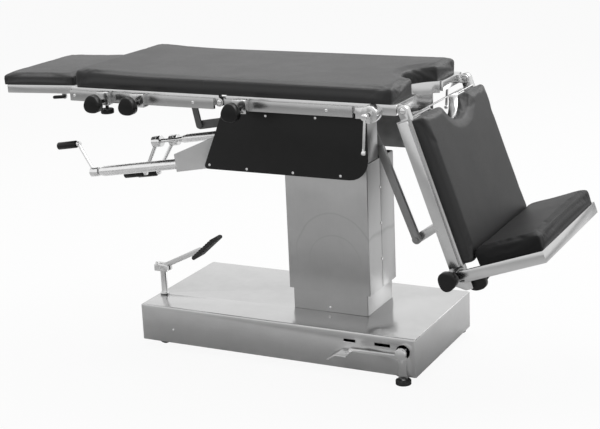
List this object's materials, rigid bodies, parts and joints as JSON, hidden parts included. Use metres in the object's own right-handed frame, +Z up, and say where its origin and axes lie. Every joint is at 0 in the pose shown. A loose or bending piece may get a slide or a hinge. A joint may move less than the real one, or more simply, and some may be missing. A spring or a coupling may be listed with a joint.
{
  "type": "manual operating table",
  "caption": "Hydraulic-column operating table with a folding head, back, leg and foot section, black pads, side rails, cranks and foot pedals.",
  "frame": {"origin": "on the floor, under the middle of the whole table", "axes": "+X from the head end towards the leg end, +Z up, -Y the operator's near side with the pedals and cranks"},
  "size_m": [1.8075, 0.673, 0.873],
  "materials": {
    "brushed_steel": "brushed stainless steel",
    "chrome": "polished chrome",
    "light_paint": "light grey enamel",
    "dark_metal": "dark grey coating",
    "black_cover": "black, satin",
    "black_knob": "black, gloss",
    "black_leather": "black leather, soft sheen",
    "rubber": "matt black rubber",
    "tyre": "black tread"
  },
  "bodies": {
    "base": {"base_cover": "brushed_steel", "base_chassis": "dark_metal", "inner_column": "brushed_steel", "hydraulic_unit": "dark_metal", "pump_post": "chrome", "levelling_feet": "brushed_steel"},
    "castor_near": {"castor_fork_near": "dark_metal"},
    "castor_far": {"castor_fork_far": "dark_metal"},
    "castor_wheel_1": {"castor_wheel_near": "tyre"},
    "castor_wheel_2": {"castor_wheel_far": "tyre"},
    "fixed_wheel_1": {"fixed_wheel_near": "tyre"},
    "fixed_wheel_2": {"fixed_wheel_far": "tyre"},
    "brake": {"brake_pedal": "chrome"},
    "pump": {"pump_pedal": "chrome"},
    "lift": {"outer_column": "brushed_steel", "lift_ram": "chrome", "column_head": "dark_metal"},
    "saddle": {"tilt_saddle": "dark_metal"},
    "seat": {"seat_frame": "brushed_steel", "seat_brackets": "brushed_steel", "seat_rails": "brushed_steel", "near_side_cover": "black_cover", "far_side_cover": "black_cover", "end_plates": "light_paint", "seat_pad": "black_leather", "pad_fold": "black_leather", "seat_clamps": "chrome", "crank_housing": "light_paint", "crank_tubes": "light_paint"},
    "seat_knob_body": {"seat_knob": "black_knob"},
    "round_lever_near": {"round_clamp_lever_near": "chrome"},
    "round_lever_far": {"round_clamp_lever_far": "chrome"},
    "crank_1": {"crank_arm_1": "chrome"},
    "crank_2": {"crank_arm_2": "chrome"},
    "crank_3": {"crank_arm_3": "chrome"},
    "grip_1": {"crank_grip_1": "black_knob"},
    "grip_2": {"crank_grip_2": "black_knob"},
    "grip_3": {"crank_grip_3": "black_knob"},
    "rocker": {"back_rocker": "dark_metal"},
    "link": {"back_links": "dark_metal"},
    "back": {"back_frame": "brushed_steel", "back_rails": "brushed_steel", "back_pad": "black_leather", "back_clamps": "chrome"},
    "back_knob_a": {"back_knob_1": "black_knob"},
    "back_knob_b": {"back_knob_2": "black_knob"},
    "underside_knob_body": {"underside_knob": "black_knob"},
    "head": {"head_frame": "brushed_steel", "head_pad": "black_leather"},
    "head_lever_body": {"head_lever": "black_knob"},
    "strut_upper": {"strut_rod": "dark_metal"},
    "strut_lower": {"strut_tube": "dark_metal"},
    "leg": {"leg_frame": "brushed_steel", "leg_rails": "brushed_steel", "leg_pad": "black_leather"},
    "foot": {"foot_frame": "brushed_steel", "foot_pad": "black_leather"},
    "foot_lock_near": {"foot_lock_knob_near": "black_knob"},
    "foot_lock_far": {"foot_lock_knob_far": "black_knob"},
    "foot_angle": {"foot_angle_knob": "black_knob"}
  },
  "joints": [
    {"name": "lift", "type": "slide", "parent": "base", "child": "lift", "axis": [0, 0, 1], "range_m": [-0.01, 0.2]},
    {"name": "long_tilt", "type": "hinge", "parent": "lift", "child": "saddle", "pos_m": [0.18355, 0, 0.65], "axis": [0, 1, 0], "range_deg": [-20, 20]},
    {"name": "side_tilt", "type": "hinge", "parent": "saddle", "child": "seat", "pos_m": [0.18355, 0, 0.72], "axis": [-1, 0, 0], "range_deg": [-20, 20]},
    {"name": "back_fold", "type": "hinge", "parent": "seat", "child": "back", "pos_m": [-0.07146, 0, 0.806], "axis": [0, 1, 0], "range_deg": [-10, 75], "deforming": ["pad_fold"]},
    {"name": "head_fold", "type": "hinge", "parent": "back", "child": "head", "pos_m": [-0.60545, 0, 0.803], "axis": [0, -1, 0], "range_deg": [-45, 40]},
    {"name": "leg_fold", "type": "hinge", "parent": "seat", "child": "leg", "pos_m": [0.50055, 0, 0.811], "axis": [0, -1, 0], "range_deg": [-20, 70]},
    {"name": "foot_fold", "type": "hinge", "parent": "leg", "child": "foot", "pos_m": [0.6572, 0, 0.35721], "axis": [0, 1, 0], "range_deg": [0, 88]},
    {"name": "back_rocker", "type": "hinge", "parent": "seat", "child": "rocker", "pos_m": [-0.05745, 0, 0.74], "axis": [0, 1, 0], "range_deg": [-10.5, 75.5]},
    {"name": "back_link", "type": "hinge", "parent": "back", "child": "link", "pos_m": [-0.19245, 0, 0.785], "axis": [0, -1, 0], "range_deg": [-10.5, 75.5]},
    {"name": "strut_swing", "type": "hinge", "parent": "seat", "child": "strut_upper", "pos_m": [0.32854, -0.11, 0.768], "axis": [0, -1, 0], "range_deg": [-17, 58.5]},
    {"name": "strut_slide", "type": "slide", "parent": "strut_upper", "child": "strut_lower", "axis": [0.376, 0, -0.9266], "range_m": [-0.052, 0.18]},
    {"name": "crank_1_turn", "type": "hinge", "parent": "seat", "child": "crank_1", "pos_m": [-0.59145, -0.165, 0.537], "axis": [-0.9877, 0, -0.1564], "continuous": true},
    {"name": "crank_2_turn", "type": "hinge", "parent": "seat", "child": "crank_2", "pos_m": [-0.43545, -0.035, 0.617], "axis": [-0.9877, 0, -0.1564], "continuous": true},
    {"name": "crank_3_turn", "type": "hinge", "parent": "seat", "child": "crank_3", "pos_m": [-0.44045, 0.074, 0.597], "axis": [-0.9877, 0, -0.1564], "continuous": true},
    {"name": "grip_1_spin", "type": "hinge", "parent": "crank_1", "child": "grip_1", "pos_m": [-0.68513, -0.11852, 0.61066], "axis": [-0.9877, 0, -0.1564], "continuous": true},
    {"name": "grip_2_spin", "type": "hinge", "parent": "crank_2", "child": "grip_2", "pos_m": [-0.50006, -0.02465, 0.50708], "axis": [-0.9877, 0, -0.1564], "continuous": true},
    {"name": "grip_3_spin", "type": "hinge", "parent": "crank_3", "child": "grip_3", "pos_m": [-0.50512, 0.06022, 0.4875], "axis": [-0.9877, 0, -0.1564], "continuous": true},
    {"name": "pump_pedal", "type": "hinge", "parent": "base", "child": "pump", "pos_m": [-0.39746, -0.113, 0.229], "axis": [0, 1, 0], "range_deg": [0, 25], "stiffness_Nm_per_rad": 20, "springref_deg": -20.05},
    {"name": "brake_pedal", "type": "hinge", "parent": "base", "child": "brake", "pos_m": [0.47354, -0.236, 0.097], "axis": [0, -1, 0], "range_deg": [0, 12]},
    {"name": "castor_swivel_near", "type": "hinge", "parent": "base", "child": "castor_near", "pos_m": [-0.34746, -0.18467, 0.062], "axis": [0, 0, 1], "continuous": true},
    {"name": "castor_swivel_far", "type": "hinge", "parent": "base", "child": "castor_far", "pos_m": [-0.34746, 0.18467, 0.062], "axis": [0, 0, 1], "continuous": true},
    {"name": "castor_wheel_near_spin", "type": "hinge", "parent": "castor_near", "child": "castor_wheel_1", "pos_m": [-0.35946, -0.18467, 0.025], "axis": [0, 1, 0], "continuous": true},
    {"name": "castor_wheel_far_spin", "type": "hinge", "parent": "castor_far", "child": "castor_wheel_2", "pos_m": [-0.35946, 0.18467, 0.025], "axis": [0, 1, 0], "continuous": true},
    {"name": "fixed_wheel_near_spin", "type": "hinge", "parent": "base", "child": "fixed_wheel_1", "pos_m": [0.44655, -0.18467, 0.027], "axis": [0, 1, 0], "continuous": true},
    {"name": "fixed_wheel_far_spin", "type": "hinge", "parent": "base", "child": "fixed_wheel_2", "pos_m": [0.44655, 0.18467, 0.027], "axis": [0, 1, 0], "continuous": true},
    {"name": "seat_knob_turn", "type": "hinge", "parent": "seat", "child": "seat_knob_body", "pos_m": [0.00954, -0.325, 0.795], "axis": [0, 1, 0], "continuous": true},
    {"name": "back_knob_1_turn", "type": "hinge", "parent": "back", "child": "back_knob_a", "pos_m": [-0.45746, -0.325, 0.795], "axis": [0, 1, 0], "continuous": true},
    {"name": "back_knob_2_turn", "type": "hinge", "parent": "back", "child": "back_knob_b", "pos_m": [-0.33546, -0.325, 0.795], "axis": [0, 1, 0], "continuous": true},
    {"name": "underside_knob_turn", "type": "hinge", "parent": "back", "child": "underside_knob_body", "pos_m": [-0.44836, -0.2755, 0.783], "axis": [0, 0, 1], "continuous": true},
    {"name": "foot_lock_near_turn", "type": "hinge", "parent": "leg", "child": "foot_lock_near", "pos_m": [0.6384, -0.27, 0.35037], "axis": [0, 1, 0], "continuous": true},
    {"name": "foot_lock_far_turn", "type": "hinge", "parent": "leg", "child": "foot_lock_far", "pos_m": [0.6384, 0.27, 0.35037], "axis": [0, 1, 0], "continuous": true},
    {"name": "foot_angle_turn", "type": "hinge", "parent": "foot", "child": "foot_angle", "pos_m": [0.70026, -0.214, 0.33745], "axis": [0, 1, 0], "continuous": true},
    {"name": "round_lever_near_turn", "type": "hinge", "parent": "seat", "child": "round_lever_near", "pos_m": [0.41554, -0.29, 0.803], "axis": [0, 1, 0], "range_deg": [-90, 90]},
    {"name": "round_lever_far_turn", "type": "hinge", "parent": "seat", "child": "round_lever_far", "pos_m": [0.41554, 0.29, 0.803], "axis": [0, 1, 0], "range_deg": [-90, 90]},
    {"name": "head_lever_squeeze", "type": "hinge", "parent": "head", "child": "head_lever_body", "pos_m": [-0.66472, -0.195, 0.78092], "axis": [0, -1, 0], "range_deg": [0, 20]}
  ],
  "couplings": [
    {"joint": "back_rocker", "follows": "back_fold", "ratio": 1},
    {"joint": "back_link", "follows": "back_fold", "ratio": 1},
    {"joint": "strut_swing", "follows": "leg_fold", "ratio": 0.825},
    {"joint": "strut_slide", "follows": "leg_fold", "m_per_rad": 0.147},
    {"joint": "crank_1_turn", "follows": "long_tilt", "ratio": 72},
    {"joint": "crank_2_turn", "follows": "side_tilt", "ratio": 72},
    {"joint": "crank_3_turn", "follows": "back_fold", "ratio": 72}
  ]
}
